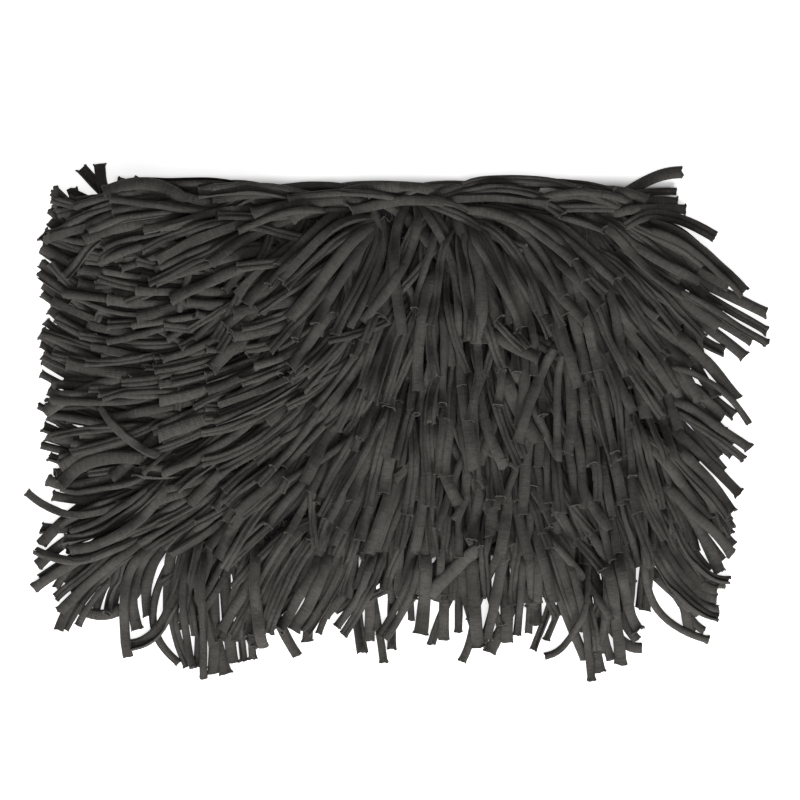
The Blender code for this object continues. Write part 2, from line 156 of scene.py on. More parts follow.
rimStrips = (
    # (root x, y, knee x, y, tip x, y, how it rolls, how deep it lies)
    (-159, -67, -192, -74, -221, -107, "band", "low"),
    (-159, -82, -192, -101, -221, -97, "band", "low"),
    (-152, -98, -195, -125, -224, -111, "tube", "top"),
    (-159, -79, -201, -98, -223, -120, "band", "low"),
    (-155, -88, -192, -107, -222, -128, "tube", "low"),
    (-152, -91, -189, -110, -225, -134, "band", "mid"),
    (-159, -85, -195, -107, -212, -134, "tube", "low"),
    (-152, -95, -186, -116, -211, -139, "scroll", "mid"),
    (-149, -98, -186, -125, -209, -148, "band", "mid"),
    (-152, -101, -201, -128, -210, -160, "band", "mid"),
    (-152, -102, -192, -131, -205, -158, "scroll", "mid"),
    (-149, -104, -188, -134, -198, -157, "tube", "low"),
    (-149, -105, -166, -165, -199, -146, "band", "low"),
    (-159, -102, -181, -125, -187, -148, "tube", "low"),
    (-155, -104, -178, -122, -179, -149, "tube", "mid"),
    (-152, -104, -173, -122, -176, -147, "tube", "low"),
    (-148, -104, -176, -125, -166, -175, "band", "top"),
    (-146, -104, -171, -125, -161, -159, "band", "mid"),
    (-141, -105, -160, -125, -155, -151, "band", "low"),
    (-128, -105, -137, -165, -165, -168, "band", "mid"),
    (-134, -105, -168, -155, -136, -180, "tube", "low"),
    (-131, -104, -146, -155, -130, -182, "scroll", "mid"),
    (-127, -104, -137, -152, -126, -182, "tube", "mid"),
    (-122, -104, -122, -140, -123, -183, "band", "low"),
    (-117, -105, -119, -140, -119, -187, "tube", "mid"),
    (-112, -105, -114, -140, -115, -187, "band", "low"),
    (-119, -105, -119, -152, -107, -187, "band", "low"),
    (-107, -105, -109, -140, -103, -180, "band", "low"),
    (-99, -105, -101, -140, -96, -179, "tube", "low"),
    (-95, -105, -94, -140, -92, -179, "tube", "low"),
    (-88, -104, -90, -134, -84, -169, "band", "mid"),
    (-101, -104, -102, -140, -89, -171, "band", "low"),
    (-82, -105, -84, -146, -63, -176, "band", "low"),
    (-48, -105, -55, -134, -74, -159, "band", "top"),
    (-40, -105, -46, -131, -64, -158, "band", "mid"),
    (-30, -105, -38, -134, -58, -161, "band", "mid"),
    (-30, -105, -43, -140, -50, -162, "tube", "low"),
    (-13, -105, -23, -137, -39, -158, "tube", "mid"),
    (-7, -104, -15, -134, -35, -163, "scroll", "mid"),
    (0, -105, -15, -137, -40, -148, "tube", "low"),
    (-29, -105, -29, -140, -23, -174, "band", "low"),
    (-20, -105, -16, -140, -10, -180, "tube", "low"),
    (-4, -105, -5, -140, -5, -172, "band", "low"),
    (11, -105, 5, -137, -13, -163, "tube", "mid"),
    (15, -105, 9, -140, -9, -165, "tube", "mid"),
    (15, -101, 18, -134, 13, -162, "band", "top"),
    (52, -105, 30, -134, 19, -169, "scroll", "low"),
    (48, -105, 51, -155, 38, -179, "tube", "low"),
    (44, -105, 44, -140, 48, -170, "band", "mid"),
    (62, -105, 61, -140, 51, -170, "tube", "low"),
    (85, -105, 73, -140, 55, -174, "band", "low"),
    (74, -104, 75, -134, 72, -163, "tube", "mid"),
    (81, -104, 81, -134, 79, -162, "tube", "low"),
    (107, -105, 91, -146, 82, -172, "tube", "low"),
    (109, -105, 101, -140, 90, -166, "tube", "low"),
    (113, -105, 117, -171, 89, -176, "tube", "top"),
    (85, -105, 98, -140, 114, -178, "band", "low"),
    (101, -104, 116, -146, 120, -189, "tube", "mid"),
    (116, -105, 121, -152, 130, -178, "tube", "low"),
    (125, -104, 133, -140, 138, -179, "band", "mid"),
    (116, -105, 125, -174, 149, -171, "band", "low"),
    (122, -105, 129, -146, 146, -166, "band", "low"),
    (133, -101, 131, -134, 147, -160, "band", "mid"),
    (146, -91, 151, -122, 147, -146, "tube", "mid"),
    (151, -90, 155, -122, 152, -147, "band", "mid"),
    (148, -105, 146, -155, 190, -166, "tube", "top"),
    (155, -98, 171, -128, 178, -160, "band", "low"),
    (155, -104, 171, -152, 187, -160, "tube", "low"),
    (146, -98, 171, -149, 196, -152, "tube", "top"),
    (149, -95, 174, -146, 196, -147, "tube", "mid"),
    (152, -91, 171, -137, 195, -141, "band", "low"),
    (155, -85, 177, -134, 195, -135, "band", "low"),
    (159, -85, 180, -134, 200, -132, "tube", "low"),
    (160, -79, 180, -131, 203, -129, "tube", "mid"),
    (159, -67, 180, -91, 195, -126, "band", "top"),
    (155, -64, 183, -88, 204, -113, "band", "top"),
    (159, -58, 189, -91, 205, -108, "band", "low"),
    (159, -49, 189, -79, 203, -101, "tube", "low"),
    (159, -43, 192, -73, 204, -97, "tube", "low"),
    (155, -37, 189, -67, 202, -92, "tube", "low"),
    (160, -43, 188, -61, 203, -87, "band", "mid"),
    (159, -30, 186, -52, 209, -76, "band", "top"),
    (160, -21, 183, -43, 199, -62, "band", "low"),
    (160, -18, 186, -43, 202, -55, "tube", "low"),
    (160, -21, 189, -37, 212, -55, "scroll", "mid"),
    (159, -15, 186, -27, 215, -48, "band", "top"),
    (155, 3, 195, 0, 215, -33, "tube", "top"),
    (160, 30, 189, 6, 207, -18, "band", "mid"),
    (155, 3, 183, -15, 202, -35, "band", "low"),
    (152, 6, 180, -9, 199, -29, "band", "low"),
    (155, 49, 189, 30, 213, 9, "band", "low"),
    (155, 52, 195, 32, 224, 15, "tube", "mid"),
    (152, 43, 183, 21, 202, 14, "band", "low"),
    (152, 64, 194, 44, 226, 24, "scroll", "low"),
    (141, 87, 177, 79, 209, 45, "band", "top"),
    (155, 73, 198, 46, 226, 35, "band", "low"),
    (131, 82, 155, 107, 194, 82, "scroll", "top"),
    (133, 85, 159, 101, 183, 77, "tube", "mid"),
    (119, 95, 152, 122, 174, 122, "band", "low"),
    (116, 101, 146, 111, 170, 110, "tube", "low"),
    (119, 96, 146, 105, 171, 103, "band", "low"),
    (122, 93, 152, 101, 176, 99, "band", "mid"),
    (-152, 85, -180, 107, -196, 125, "band", "low"),
    (-146, 79, -184, 98, -185, 127, "band", "low"),
    (-137, 101, -159, 113, -174, 116, "band", "low"),
    (-122, 95, -143, 121, -178, 107, "band", "top"),
    (-163, 78, -196, 93, -202, 112, "band", "low"),
    (-163, 78, -196, 93, -213, 112, "tube", "low"),
    (-163, 78, -196, 93, -211, 112, "band", "low"),
    (-163, 68, -196, 83, -213, 102, "band", "low"),
    (-163, 64, -196, 79, -216, 98, "tube", "low"),
    (-163, 56, -196, 71, -217, 90, "band", "low"),
    (-163, 50, -196, 65, -220, 84, "band", "low"),
    (-163, 40, -196, 55, -221, 74, "tube", "low"),
    (-163, 32, -196, 47, -221, 66, "band", "low"),
    (-163, 25, -196, 40, -221, 59, "tube", "low"),
    (-163, 19, -196, 34, -220, 53, "band", "low"),
    (-163, 12, -196, 27, -221, 46, "tube", "low"),
    (-163, 2, -196, 17, -217, 36, "band", "low"),
    (-163, -4, -196, 11, -218, 30, "tube", "low"),
    (-163, -9, -196, 5, -221, 23, "band", "low"),
    (-163, -14, -196, 0, -221, 16, "tube", "low"),
    (-163, -21, -196, -8, -220, 7, "band", "low"),
    (-163, -28, -196, -16, -221, -2, "tube", "low"),
    (-163, -36, -196, -25, -216, -12, "band", "low"),
    (-163, -43, -196, -34, -218, -22, "band", "low"),
    (-163, -44, -196, -35, -224, -23, "tube", "low"),
    (-163, -53, -196, -45, -220, -35, "band", "low"),
    (-163, -61, -196, -54, -221, -46, "tube", "low"),
    (-141, -56, -186, -43, -207, -69, "band", "top"),
    (-135, -54, -162, -52, -182, -23, "scroll", "top"),
    (-143, -52, -183, -55, -212, -63, "tube", "low"),
    (-143, -58, -183, -79, -206, -71, "tube", "mid"),
    (-141, -60, -183, -85, -220, -71, "band", "low"),
    (-152, -73, -201, -101, -229, -74, "scroll", "mid"),
    (-140, -61, -168, -88, -200, -98, "tube", "top"),
    (-139, -61, -165, -98, -204, -102, "band", "top"),
    (-139, -62, -155, -104, -202, -110, "band", "top"),
    # across the top edge, where the pile parts
    (70, 103, 40, 117, 2, 107, "tube", "low"),
    (52, 102, 20, 115, -22, 106, "scroll", "low"),
    (30, 103, -5, 117, -45, 109, "band", "low"),
    (-10, 102, 25, 117, 62, 108, "scroll", "low"),
    (-35, 103, 0, 115, 38, 103, "tube", "low"),
    (12, 102, 45, 118, 85, 109, "band", "low"),
    (-55, 102, -20, 118, 15, 110, "band", "low"),
    (-80, 103, -50, 116, -10, 104, "scroll", "low"),
    (95, 103, 60, 118, 25, 104, "scroll", "mid"),
    (5, 103, -30, 112, -68, 104, "tube", "mid"),
    (22, 103, 60, 110, 92, 103, "scroll", "mid"),
    (38, 101, 5, 109, -30, 98, "band", "mid"),
    (-25, 102, 10, 108, 45, 97, "tube", "mid"),
    (-52, 103, -85, 114, -122, 107, "band", "mid"),
    (78, 103, 110, 113, 140, 102, "tube", "mid"),
    (-18, 99, -50, 106, -92, 92, "band", "mid"),
    (-40, 97, -66, 100, -98, 84, "tube", "mid"),
    (34, 98, 70, 103, 106, 66, "band", "mid"),
    (60, 97, 92, 96, 112, 54, "tube", "mid"),
    # low between others at the rim
    (-163, -49, -196, -40, -217, -29, "tube", "low"),
    (-163, -57, -196, -50, -218, -41, "band", "low"),
    (-163, -65, -196, -60, -216, -53, "tube", "low"),
    (-160, -38, -190, -28, -214, -16, "band", "low"),
    (-160, 46, -190, 58, -220, 76, "band", "low"),
    (-150, -70, -190, -84, -214, -77, "band", "low"),
    (-158, -92, -182, -110, -206, -131, "band", "low"),
    (-138, -94, -146, -122, -145, -151, "band", "low"),
    (-52, -104, -55, -136, -57, -167, "band", "low"),
    (-16, -98, -19, -130, -19, -167, "band", "low"),
    (6, -96, 7, -125, 7, -154, "tube", "low"),
    (24, -96, 27, -130, 27, -166, "band", "low"),
    (36, -98, 37, -130, 36, -161, "tube", "low"),
    (62, -102, 64, -135, 65, -168, "band", "low"),
    (80, -104, 82, -130, 82, -158, "band", "low"),
    (112, -112, 115, -150, 123, -186, "band", "low"),
    (140, -92, 150, -128, 183, -149, "band", "low"),
    (160, -72, 180, -92, 198, -117, "band", "low"),
    (155, -82, 172, -101, 190, -123, "tube", "low"),
    (163, -2, 185, -12, 206, -28, "band", "low"),
    (163, 50, 190, 34, 217, 18, "band", "low"),
    (-60, -92, -66, -114, -78, -140, "band", "low"),
    (-55, -88, -63, -112, -70, -138, "band", "low"),
    (-158, -56, -188, -67, -211, -66, "band", "low"),
)


# Whether a place is over the dense pile: an odd number of edges crosses its line to the right
def insideEdge(place):
    x, y = pileEdge.T
    nextX, nextY = np.roll(x, -1), np.roll(y, -1)
    crosses = (y > place[1]) != (nextY > place[1])
    span = np.where(nextY == y, 1.0, nextY - y)
    hits = crosses & (place[0] < x + (nextX - x) * (place[1] - y) / span)
    return hits.sum() % 2 == 1


# Jersey strips

strip = {
    "cloth": 11.9,  # flat width before its edges roll
    "thickness": 0.75,
    "length": 76.0,
    "uneven": 3.6,  # how much lengths differ, from tuft to tuft and within one
    "across": 10,  # faces over the cloth's width
    "stretches": 16,  # faces along it
    "levels": 7,  # of rolling that are drawn beforehand
    "rootGather": 9.0,  # length over which it opens from its tie
    "rootSqueeze": 0.65,
    "rootOpens": 0.7,  # how late
    "tipFlare": (0.2, 0.12),  # with its spread
    "tipLength": 2.0,  # of the cut end that flares
    "flattened": (1.05, 0.96),  # across and in height, by the strips that lie on it
    "softness": 0.82,  # of its height that neighbours leave it
    "footprint": 0.8,  # of its width that rests on others
    "shares": (0.27, 0.25, 0.48),  # of tubes, bands and scrolls
}

# How an edge rolls: degrees it turns when loose and when tight, how late, the flat middle, the
# share of strips that lie with their back up, and how far they twist
rolls = {
    "tube": {"turn": (160, 197), "power": 1.05, "flat": 0.0, "backUp": 0.5, "twist": 25},
    "band": {"turn": (160, 215), "power": 1.75, "flat": 0.0, "backUp": 0.85, "twist": 10},
    "scroll": {"turn": (225, 262), "power": 1.1, "flat": 0.15, "backUp": 0.2, "twist": 10},
}

# What chance gives each strip, as a mean and spread, a spread alone, or a least and most
chances = {
    "curl": (0.6, 0.2),  # 0 is loosely rolled and 1 tightly
    "curlWave": (0.14, 0.5, 1.2),  # how much it changes along the strip, in how many waves
    "rootCurl": 0.4,
    "tipUncurl": 0.25,
    "width": (1, 0.08),
    "widthLimits": (0.84, 1.2),
    "wide": (0.07, 1.22),  # share of strips that were cut wider, and by how much
    "widthWave": (0.03, 1.5, 3),
    "turn": 9,
    "sway": 5,
    "swayWaves": (0.6, 1.3),
    "arch": (0.8, 1.2),
    "cutSkew": 0.12,
    "cutWobble": 0.3,
}

pileLook = {
    "seed": 8,
    "rowsY": (103, 95, 72, 47, 21, -6, -35, -64, -93),
    "columns": 13,
    "pitchX": 24.8,
    "stagger": 0.25,  # of the pitch, to and fro from row to row
    "tuftShift": 2.0,
    "rootShift": 1.2,
    "stripsInTuft": (7, 9),
    "stripsAtEdge": (6, 8),
    "edgeX": 138,  # beyond it a tuft has stripsAtEdge
    "tuftTurn": 8.0,
    "tuftBend": 10.0,
    "stripBend": 6.0,
    "lateBend": 1.3,
    "follow": (0.7, 0.6),  # how far along the lie is read, and how much of its turn is taken up
    "fan": 2.2,  # degrees between neighbours
    "fanSpread": 2.2,
    "besides": 4.7,  # between neighbours in a tuft
    "besidesSpread": 0.8,
    "besidesFrom": 13.0,  # length over which neighbours come apart
    "routeSway": 0.12,  # of a strip at the rim, for each degree of sway
    "strays": 0.045,
    "strayTurn": (28.0, 65.0),
    "disorder": 18.0,  # in the order of laying
    "depths": {"low": 60.0, "mid": -70.0, "top": -400.0},  # of rim strips in that order
    "sheetTop": 2.6,
    "rootHeight": 3.6,
}

# How a strip finds its place on the others
laying = {
    "tries": 8,
    "triesAtRim": 3,
    "trySpread": (4.0, 1.4),  # degrees of turn, and shift to the side
    "boldTries": 5,  # from this one on they turn more
    "boldTurn": 3.75,
    "turnCost": 0.08,  # height that a degree of turn is worth
    "shiftCost": 0.1,
    "outAt": (-1, -6, -11),  # stations that should lie over the dense pile
    "outCost": 60.0,  # for each of them that doesn't
    "rootStations": 6,  # that don't count for the mean height
    "tallest": 30.0,  # a strip's mean height
    "highest": 35.5,
    "leanArm": 1.5,  # half widths between the two sides that it leans by
    "lean": 0.8,  # share of the slope below that it takes up
    "mostLean": 0.45,
    "pressed": 0.3,  # height that it loses on a high pile
    "pressedFrom": 15,
    "pressedOver": 20,
    "rise": (14.0, 1.2),  # length over which it comes up from its root, and how late
    "archEnd": 1.15,
    "sag": 0.3,  # between two stations
    "tipDroop": 0.5,
    "sagPasses": 40,  # rounds in which a strip takes up its sag
    "smoothPasses": 2,
    "clear": 0.05,  # of the floor and the net
}

# Height of what is laid, on a grid
ground = {"cell": 0.8, "reach": 260.0}
ground["height"] = np.zeros((int(2 * ground["reach"] / ground["cell"]),) * 2)

rng = np.random.default_rng(pileLook["seed"])


# Middle line of the cloth across a strip, as seen from its end
def rolledSection(roll, curl):
    fine = np.linspace(-1, 1, 241)
    most = math.radians(roll["turn"][0] + (roll["turn"][1] - roll["turn"][0]) * curl)
    out = np.clip((np.abs(fine) - roll["flat"]) / (1 - roll["flat"]), 0, 1)
    turn = np.sign(fine) * most * out ** roll["power"]
    step = strip["cloth"] / (len(fine) - 1)
    x = np.concatenate(([0], np.cumsum(np.cos((turn[1:] + turn[:-1]) / 2)))) * step
    z = np.concatenate(([0], np.cumsum(np.sin((turn[1:] + turn[:-1]) / 2)))) * step
    spacing = np.abs(np.gradient(turn)) * 1.6 + 2 / len(fine)  # closer where it rolls
    place = np.cumsum(spacing) - spacing[0]
    wanted = np.linspace(0, place[-1], strip["across"] + 1)
    x, z = np.interp(wanted, place, x), np.interp(wanted, place, z)
    return x - (x.max() + x.min()) / 2, z - (z.max() + z.min()) / 2


curlSteps = np.linspace(0, 1, strip["levels"])
for roll in rolls.values():
    drawn = np.array([rolledSection(roll, curl) for curl in curlSteps])  # level, x or z, point
    roll["drawn"] = drawn
    roll["half"] = (drawn.max(axis=2) - drawn.min(axis=2)) / 2 + strip["thickness"] / 2

# A strip is laid by its stations, and share is how far along it each one is
stations = 2 * strip["stretches"] + 1
share = np.linspace(0, 1, stations)

# The drawn cloth has its rings of points here, with a short last stretch
rings = np.append(
    np.linspace(0, 1 - strip["tipLength"] / strip["length"], strip["stretches"]), 1.0
)


# Where a strip runs, seen from above, and its sideways direction at each station
def planPath(one, turn, shift):
    waves = np.sin(2 * np.pi * (share * one["swayWaves"] + one["phase"]))
    if "bow" in one:
        root, knee, tip = one["bow"] + shift
        run = share[:, None]
        middle = (1 - run) ** 2 * root + 2 * run * (1 - run) * knee + run**2 * tip
        ahead = np.gradient(middle, axis=0)
        heading = np.degrees(np.unwrap(np.arctan2(ahead[:, 1], ahead[:, 0])))
        side = along(heading + 90)
        sway = one["sway"] * pileLook["routeSway"] * waves
        return middle + side * (sway * np.sin(np.pi * share))[:, None], side
    start = one["heading"] + turn
    pull = one["pull"]
    if pull is None:
        readAt, takenUp = pileLook["follow"]
        tip = one["root"] + along(start) * one["length"] * readAt
        pull = takenUp * (flowHeading(tip) - flowHeading(one["root"]))
    bent = (pull + one["bend"]) * share ** pileLook["lateBend"]
    heading = start + bent + one["sway"] * waves * share
    step = one["length"] / (stations - 1)
    middle = one["root"] + np.concatenate(
        (np.zeros((1, 2)), np.cumsum(along((heading[1:] + heading[:-1]) / 2), axis=0) * step)
    )
    side = along(heading + 90)
    apart = 1 - np.exp(-share * one["length"] / pileLook["besidesFrom"])
    spread = (one["besides"] + shift) * apart
    return middle + side * spread[:, None], side


def cells(points):
    return np.clip(
        ((points + ground["reach"]) / ground["cell"]).astype(int), 0, len(ground["height"]) - 1
    )


# Height of a strip's middle line at rest on what lies below, how it leans sideways, and the
# share of its height that it keeps
def settle(one, path, side):
    over = np.linspace(-1, 1, 7)
    halfWide = one["halfWide"]
    points = path[:, None] + side[:, None] * (over[None, :] * halfWide[:, None])[..., None]
    at = cells(points)
    below = ground["height"][at[..., 0], at[..., 1]]
    lean = below[:, 5:].mean(axis=1) - below[:, :2].mean(axis=1)
    lean = lean / (laying["leanArm"] * halfWide)
    # evened out along the strip
    lean = np.convolve(np.pad(lean, 3, mode="edge"), np.ones(7) / 7, mode="valid")
    lean = np.clip(lean * laying["lean"], -laying["mostLean"], laying["mostLean"])
    onHigh = (below.max(axis=1) - laying["pressedFrom"]) / laying["pressedOver"]
    soft = 1 - laying["pressed"] * np.clip(onHigh, 0, 1)
    halfHigh = one["halfHigh"] * soft
    rounded = halfHigh[:, None] * np.sqrt(1 - over**2)
    need = (below - lean[:, None] * over * halfWide[:, None] + rounded).max(axis=1)
    length, late = laying["rise"]
    rise = np.clip(share * one["length"] / length, 0, 1) ** late
    need = pileLook["rootHeight"] + (need - pileLook["rootHeight"]) * rise
    need = need + one["arch"] * np.sin(np.pi * np.clip(share * laying["archEnd"], 0, 1))
    height = need.copy()
    for _ in range(laying["sagPasses"]):
        height[1:-1] = np.maximum(need[1:-1], (height[:-2] + height[2:]) / 2 - laying["sag"])
        height[-1] = max(need[-1], 2 * height[-2] - height[-3] - laying["tipDroop"])
    for _ in range(laying["smoothPasses"]):
        height[1:-1] = (height[:-2] + 2 * height[1:-1] + height[2:]) / 4
    return height, lean, soft


# Adds a strip to the ground that later strips lie on
def pressIn(one, path, side, height, lean, soft):
    # points closer than the cells, so that none is missed
    fine = np.linspace(0, stations - 1, int(one["length"] / (0.8 * ground["cell"])))
    over = np.linspace(-1, 1, 15)

    def between(values):
        return np.interp(fine, np.arange(stations), values)

    px, py, sx, sy = (between(v) for v in (*path.T, *side.T))
    wide = between(one["halfWide"])
    tops = (
        between(height)[:, None]
        + between(lean)[:, None] * over * wide[:, None]
        + between(one["halfHigh"] * soft)[:, None] * np.sqrt(1 - over**2)
    )
    points = np.stack(
        (px[:, None] + sx[:, None] * over * wide[:, None],
         py[:, None] + sy[:, None] * over * wide[:, None]), axis=-1
    )
    at = cells(points)
    np.maximum.at(ground["height"], (at[..., 0], at[..., 1]), tops)


# Tries a few ways to lie and keeps the best. A tuft's strip is left out where all of them lie
# too high or past the edge.
def lay(one):
    best = None
    for turn, shift in one["tries"]:
        path, side = planPath(one, turn, shift)
        height, lean, soft = settle(one, path, side)
        mean = height[laying["rootStations"]:].mean()
        cost = mean + laying["turnCost"] * abs(turn) + laying["shiftCost"] * abs(shift)
        if "bow" not in one:
            cost += laying["outCost"] * sum(not insideEdge(path[k]) for k in laying["outAt"])
            if cost > laying["tallest"] or height.max() > laying["highest"]:
                continue
        if best is None or cost < best[0]:
            best = (cost, path, side, height, lean, soft)
    if best is None:
        return None
    _, path, side, height, lean, soft = best
    pressIn(one, path, side, height, lean, soft)
    return placed(one, path, side, height, lean)


# Places of all the cloth's points, as (along, across, xyz)
def placed(one, path, side, height, lean):
    def atRings(values):
        return np.column_stack([np.interp(rings, share, v) for v in np.transpose(values)])

    line = np.column_stack((path, height))
    centre = atRings(line)
    forward = atRings(np.gradient(line, axis=0))
    forward /= np.linalg.norm(forward, axis=1)[:, None]
    sideways = atRings(np.column_stack((side, lean)))
    sideways /= np.linalg.norm(sideways, axis=1)[:, None]
    up = np.cross(forward, sideways)
    up /= np.linalg.norm(up, axis=1)[:, None]
    turned, curl, scale = atRings(np.column_stack((one["turned"], one["curl"], one["scale"]))).T
    scale[-1] *= 1 + one["flare"]
    turned = turned[:, None, None]
    level = curl * (strip["levels"] - 1)
    low = np.clip(level.astype(int), 0, strip["levels"] - 2)
    mix = (level - low)[:, None, None]
    drawn = rolls[one["style"]]["drawn"]
    section = drawn[low] * (1 - mix) + drawn[low + 1] * mix  # ring, x or z, point
    section = section * scale[:, None, None]
    x, z = section[:, 0, :, None], section[:, 1, :, None]
    across = (np.cos(turned) * x - np.sin(turned) * z) * strip["flattened"][0]
    upward = (np.sin(turned) * x + np.cos(turned) * z) * strip["flattened"][1]
    points = centre[:, None] + across * sideways[:, None] + upward * up[:, None]
    points[-1] += forward[-1] * (one["cutSkew"] * x[-1] + one["cutWobble"][:, None])
    onSheet = (np.abs(points[..., :2]) < np.array(sheetSize) / 2 - 2).all(axis=-1)
    floor = np.where(onSheet, pileLook["sheetTop"], 0) + strip["thickness"] / 2 + laying["clear"]
    points[..., 2] = np.maximum(points[..., 2], floor)
    return points


def wavesAlong(height, fewest, most):
    return height * np.sin(2 * np.pi * (share * rng.uniform(fewest, most) + rng.random()))


# One strip before it is laid
def newStrip(root, style, length, heading=0.0, bend=0.0, besides=0.0, pull=None):
    roll = rolls[style]
    curl = rng.normal(*chances["curl"]) + wavesAlong(*chances["curlWave"])
    curl = curl + chances["rootCurl"] * (1 - share) ** 3 - chances["tipUncurl"] * share**12
    curl = np.clip(curl, 0, 1)
    opened = np.clip(share * length / strip["rootGather"], 0, 1) ** strip["rootOpens"]
    scale = strip["rootSqueeze"] + (1 - strip["rootSqueeze"]) * opened
    scale = scale * np.clip(rng.normal(*chances["width"]), *chances["widthLimits"])
    widerShare, wider = chances["wide"]
    scale = scale * (wider if rng.random() < widerShare else 1)
    scale = scale * (1 + wavesAlong(*chances["widthWave"]))
    turned = 180.0 if rng.random() < roll["backUp"] else 0.0
    if style == "tube":
        turned = rng.uniform(-180, 180)  # it lies any way round
    twist = rng.normal(0, roll["twist"]) * (share - 0.3)  # about a place near its root
    halfWide, halfHigh = (
        np.interp(curl, curlSteps, half) * scale * flattened
        for half, flattened in zip(roll["half"].T, strip["flattened"])
    )
    tries = rng.normal(0, 1, (laying["tries"], 2)) * laying["trySpread"]
    tries[0] = 0
    tries[laying["boldTries"]:, 0] *= laying["boldTurn"]
    return {
        "root": np.array(root, dtype=float),
        "style": style,
        "heading": heading,
        "bend": bend,
        "pull": pull,
        "besides": besides,
        "length": length,
        "sway": rng.normal(0, chances["sway"]),
        "swayWaves": rng.uniform(*chances["swayWaves"]),
        "phase": rng.random(),
        "arch": max(0.0, rng.normal(*chances["arch"])),
        "curl": curl,
        "scale": scale,
        "turned": np.radians(turned + rng.normal(0, chances["turn"]) + twist),
        "halfWide": halfWide * strip["footprint"],
        "halfHigh": halfHigh * strip["softness"],
        "flare": abs(rng.normal(*strip["tipFlare"])),
        "cutSkew": rng.normal(0, chances["cutSkew"]),
        "cutWobble": rng.normal(0, chances["cutWobble"], strip["across"] + 1),
        "tone": rng.random(),
        "tries": tries,
    }


def placeTufts():
    places = []
    for row, y in enumerate(pileLook["rowsY"]):
        for column in range(pileLook["columns"]):
            x = column - (pileLook["columns"] - 1) / 2 + pileLook["stagger"] * (-1) ** row
            place = np.array((x * pileLook["pitchX"], y))
            places.append((row, place + rng.normal(0, pileLook["tuftShift"], 2)))
    return places


tuftPlaces = placeTufts()


def farFromParting(place):
    return math.hypot(place[0] - parting["x"], place[1] - parting["y"])


def makeTuft(row, place):
    turn = rng.normal(0, pileLook["tuftTurn"])
    bend = rng.normal(0, pileLook["tuftBend"])
    length = strip["length"] + rng.normal(0, strip["uneven"])
    many = pileLook["stripsAtEdge" if abs(place[0]) > pileLook["edgeX"] else "stripsInTuft"]
    count = int(rng.integers(*many, endpoint=True))
    members = []
    for k in range(count):
        heading, pull = stripLie(place)
        slot = k - (count - 1) / 2
        fan = slot * pileLook["fan"] + rng.normal(0, pileLook["fanSpread"])
        if rng.random() < pileLook["strays"]:
            fan += rng.choice((-1, 1)) * rng.uniform(*pileLook["strayTurn"])
        members.append(newStrip(
            place + rng.normal(0, pileLook["rootShift"], 2),
            rng.choice(tuple(rolls), p=strip["shares"]),
            length + rng.normal(0, strip["uneven"]),
            heading + turn + fan,
            bend + rng.normal(0, pileLook["stripBend"]),
            slot * pileLook["besides"] + rng.normal(0, pileLook["besidesSpread"]),
            pull,
        ))
    order = farFromParting(place) + rng.normal(0, pileLook["disorder"])
    members = [members[k] for k in rng.permutation(count)]
    return {"row": row, "order": order, "strips": members}


# A strip on its own route, whose length is between the route's chord and its two legs
def makeRimStrip(rootX, rootY, kneeX, kneeY, tipX, tipY, style, depth):
    bow = np.array(((rootX, rootY), (kneeX, kneeY), (tipX, tipY)), dtype=float)
    length = np.linalg.norm(bow[2] - bow[0]) * 0.55 + 0.45 * (
        np.linalg.norm(bow[1] - bow[0]) + np.linalg.norm(bow[2] - bow[1])
    )
    one = newStrip(bow[0], style, length)
    one["bow"] = bow
    one["tries"] = one["tries"][:laying["triesAtRim"]]
    order = farFromParting(bow[0]) + pileLook["depths"][depth]
    return {"row": len(pileLook["rowsY"]), "order": order, "strips": [one]}


# Lays all strips, those furthest from the parting first
def layPile():
    half = np.array(sheetSize) / 2
    low, high = cells(-half), cells(half)
    ground["height"][low[0]:high[0], low[1]:high[1]] = pileLook["sheetTop"]
    tufts = [makeTuft(row, place) for row, place in tuftPlaces]
    tufts += [makeRimStrip(*route) for route in rimStrips]
    rows = {}
    for tuft in sorted(tufts, key=lambda tuft: -tuft["order"]):
        for one in tuft["strips"]:
            points = lay(one)
            if points is not None:
                rows.setdefault(tuft["row"], []).append((points, one["tone"]))
    return rows


# Cuts one flat grid for each strip, rolls and lays it, and gives the cloth its thickness
def sewRow(row, laid):
    bpy.ops.object.select_all(action="DESELECT")
    bpy.ops.mesh.primitive_grid_add(
        x_subdivisions=strip["across"], y_subdivisions=strip["stretches"], size=1, calc_uvs=True
    )
    piece = bpy.context.object
    piece.name = f"jersey_strips_row_{row + 1}"
    flat = np.array([vert.co for vert in piece.data.vertices])
    over = np.round((flat[:, 0] + 0.5) * strip["across"]).astype(int)
    run = np.round((flat[:, 1] + 0.5) * strip["stretches"]).astype(int)
    copyGrid(piece, "one for each strip", len(laid))
    places = np.concatenate([points[run, over] for points, _ in laid]) * mm
    piece.data.vertices.foreach_set("co", places.astype(np.float32).ravel())
    corner = np.empty(len(piece.data.loops), dtype=np.int32)
    piece.data.loops.foreach_get("vertex_index", corner)
    corner %= len(flat)
    onCloth = np.column_stack((over[corner] / strip["across"], rings[run[corner]]))
    piece.data.uv_layers[0].data.foreach_set("uv", onCloth.astype(np.float32).ravel())
    tone = piece.data.attributes.new("tone", "FLOAT", "POINT")
    tone.data.foreach_set("value", np.repeat([t for _, t in laid], len(flat)).astype(np.float32))
    piece.data.update()
    cloth = piece.modifiers.new("cloth", "SOLIDIFY")
    cloth.thickness = strip["thickness"] * mm
    cloth.offset = 0
    bpy.ops.object.modifier_apply(modifier=cloth.name)
    bpy.ops.object.shade_smooth_by_angle(angle=math.radians(50))
    return piece


